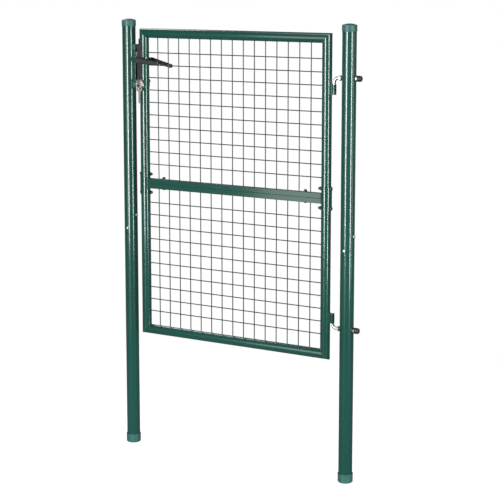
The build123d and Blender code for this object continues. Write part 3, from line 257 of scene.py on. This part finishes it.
def lump(centre, size):
    """The vertices and faces of one small ball, stretched to size."""
    rings, sides = 5, 8
    points = []
    for ring in range(rings + 1):
        tilt = math.pi * ring / rings
        for side in range(sides):
            turn = 2 * math.pi * side / sides
            flat = math.sin(tilt)
            unit = (flat * math.cos(turn), flat * math.sin(turn), math.cos(tilt))
            points.append(tuple(c + s * u for c, s, u in zip(centre, size, unit)))
    faces = []
    for ring in range(rings):
        for side in range(sides):
            after = (side + 1) % sides
            a, b = ring * sides + side, ring * sides + after
            faces.append((a, a + sides, b + sides, b))
    return points, faces


def make_lumps(name, lumps, body, material):
    points, faces = [], []
    for centre, size in lumps:
        more, more_faces = lump(centre, size)
        faces += [tuple(i + len(points) for i in face) for face in more_faces]
        points += more
    mesh = bpy.data.meshes.new(name)
    mesh.from_pydata(points, [], faces)
    mesh.validate()
    weld = bpy.data.objects.new(name, mesh)
    bpy.context.collection.objects.link(weld)
    merge = weld.modifiers.new("merge", "WELD")
    merge.merge_threshold = 1e-6
    mesh.polygons.foreach_set("use_smooth", [True] * len(mesh.polygons))
    mesh.materials.append(material)
    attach(weld, body)
    return weld


def mitre_weld(x, z, outward, upward):
    """Ripples of weld round the joint of a stile and a rail."""
    ripples = []
    for i in range(CORNER_RIPPLES):
        t = 2 * math.pi * i / CORNER_RIPPLES
        if math.cos(t) > 0.75:
            continue
        reach = FRAME_R * math.cos(t)
        centre = (x + outward * reach, FRAME_R * math.sin(t), z + upward * reach)
        size = CORNER_RIPPLE + RIPPLE_SWELL * math.sin(i * 2.3)
        ripples.append((centre, (size, size * 0.62, size)))
    return ripples


def line_of_ripples(start, end, count, size):
    """Weld ripples along a straight line, swelling and shrinking a little."""
    start, end = Vector(start), Vector(end)
    ripples = []
    for i in range(count):
        place = tuple(start.lerp(end, i / (count - 1)))
        ripples.append((place, (size + RIPPLE_SWELL * math.sin(i * 1.9),) * 3))
    return ripples


def add_welds():
    corners = []
    for x, outward in zip(STILES_X, (1, -1)):
        corners += mitre_weld(x, TOP_RAIL_Z, outward, 1)
        corners += mitre_weld(x, BOTTOM_RAIL_Z, outward, -1)
    make_lumps("corner_welds", corners, "leaf", weld_paint)

    lugs = []
    bead_x = STILES_X[0] + math.sqrt(FRAME_R**2 - LUG_HALF**2) + 0.0004
    for low, high in SLEEVES_Z:
        for y in (-LUG_HALF - 0.0005, LUG_HALF + 0.0005):
            lugs += line_of_ripples((bead_x, y, low), (bead_x, y, high), 16, LUG_RIPPLE)
        for z in (low, high):
            lugs += line_of_ripples((bead_x, -LUG_HALF, z), (bead_x, LUG_HALF, z), 5, LUG_RIPPLE)
    make_lumps("hinge_welds", lugs, "leaf", weld_paint)

    rails = []
    half = RAIL_SIDE / 2
    spans = ((SEAM_Z + 0.002, SEAM_Z + RAIL_SIDE), (SEAM_Z - RAIL_SIDE, SEAM_Z - 0.002))
    for x, inward in zip(STILES_X, (-1, 1)):
        edge_x = x + inward * (math.sqrt(FRAME_R**2 - half**2) + 0.0005)
        for y in (-half - 0.0004, half + 0.0004):
            for low, high in spans:
                rails += line_of_ripples((edge_x, y, low), (edge_x, y, high), 9, RAIL_RIPPLE)
    make_lumps("rail_welds", rails, "leaf", weld_paint)


def add_wire_ends():
    """The small pool of weld where each wire meets the frame."""
    spots = []
    tall, wide = (0.0027, 0.0027, 0.0022), (0.0022, 0.0027, 0.0027)
    panels = (
        (SEAM_Z + RAIL_SIDE, TOP_RAIL_Z - FRAME_R, FIRST_ROWS_Z[0]),
        (BOTTOM_RAIL_Z + FRAME_R, SEAM_Z - RAIL_SIDE, FIRST_ROWS_Z[1]),
    )
    for low, high, first_row in panels:
        for column in range(WIRE_COLUMNS):
            x = LEAF_MIDDLE_X + (column - WIRE_COLUMNS // 2) * PITCH
            spots.append(((x, -WIRE_LAYER, low + 0.0006), tall))
            spots.append(((x, -WIRE_LAYER, high - 0.0004), tall))
        for row in range(WIRE_ROWS):
            z = first_row - row * PITCH
            for x, inward in zip(STILES_X, (-1, 1)):
                spots.append(((x + inward * (FRAME_R + 0.0004), WIRE_LAYER, z), wide))
    make_lumps("wire_end_welds", spots, "leaf", weld_paint)


def add_floor():
    bpy.ops.mesh.primitive_circle_add(
        vertices=128, radius=FLOOR_R, fill_type="NGON", location=FLOOR_CENTRE
    )
    floor = bpy.context.object
    floor.name = "floor"
    pale = make_material(
        "pale_floor", (0.34, 0.34, 0.34), (0.36, 0.36, 0.36), 2, (0.8, 0.9), 90, 0.02,
        Emission_Color=(1, 1, 1, 1), Emission_Strength=FLOOR_GLOW, Specular_IOR_Level=0.1,
    )
    floor.data.materials.append(pale)
    floor.visible_glossy = False


bpy.context.scene.view_settings.view_transform = "Standard"
set_world()
add_camera()
for light_name, numbers in LIGHTS.items():
    add_light(light_name, *numbers)
add_floor()
paint_cad_nodes()
add_welds()
add_wire_ends()
